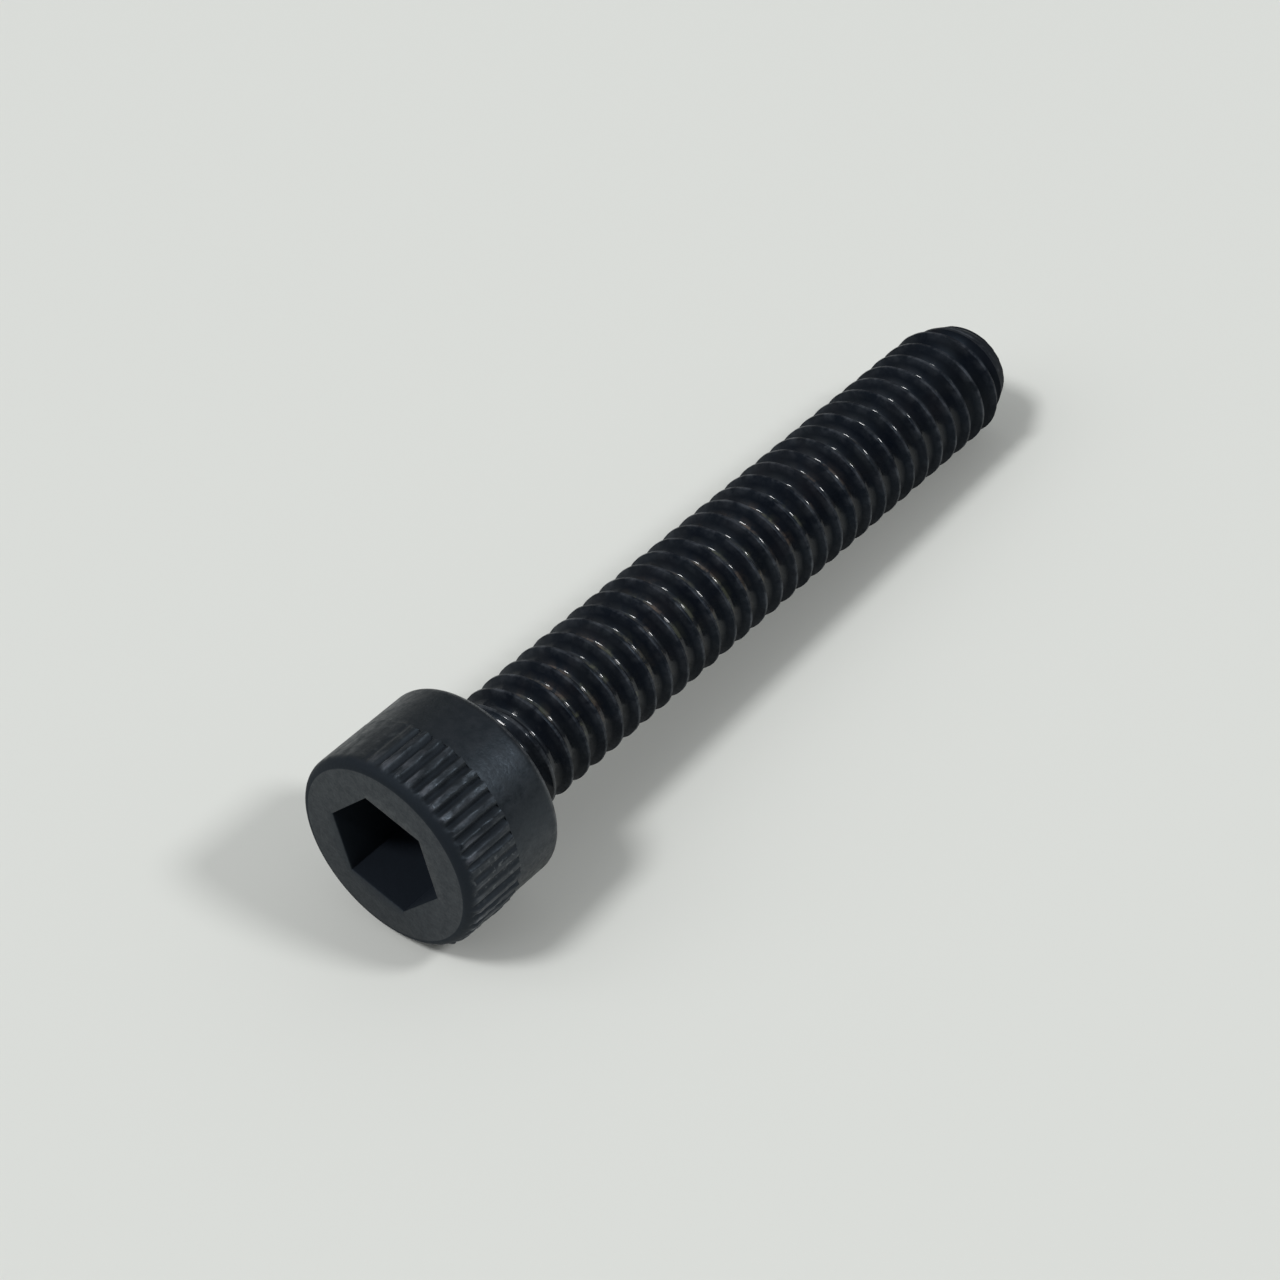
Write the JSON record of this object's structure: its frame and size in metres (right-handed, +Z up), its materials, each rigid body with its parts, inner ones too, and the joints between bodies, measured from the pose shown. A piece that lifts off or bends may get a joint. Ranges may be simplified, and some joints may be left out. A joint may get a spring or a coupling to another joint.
{
  "type": "socket head cap screw",
  "caption": "Steel cap screw with a knurled cylindrical head, a hexagon socket and a fully threaded shank, lying on its side.",
  "frame": {"origin": "centre of the footprint, on the floor", "axes": "+Z up; the screw's axis lies in the XZ plane, its head towards -X, its point towards +X and dipping to the floor"},
  "size_m": [0.0298, 0.0068, 0.0069],
  "materials": {
    "black_oxide_steel": "matte"
  },
  "bodies": {
    "root": {"cap_screw": "black_oxide_steel"}
  },
  "joints": []
}
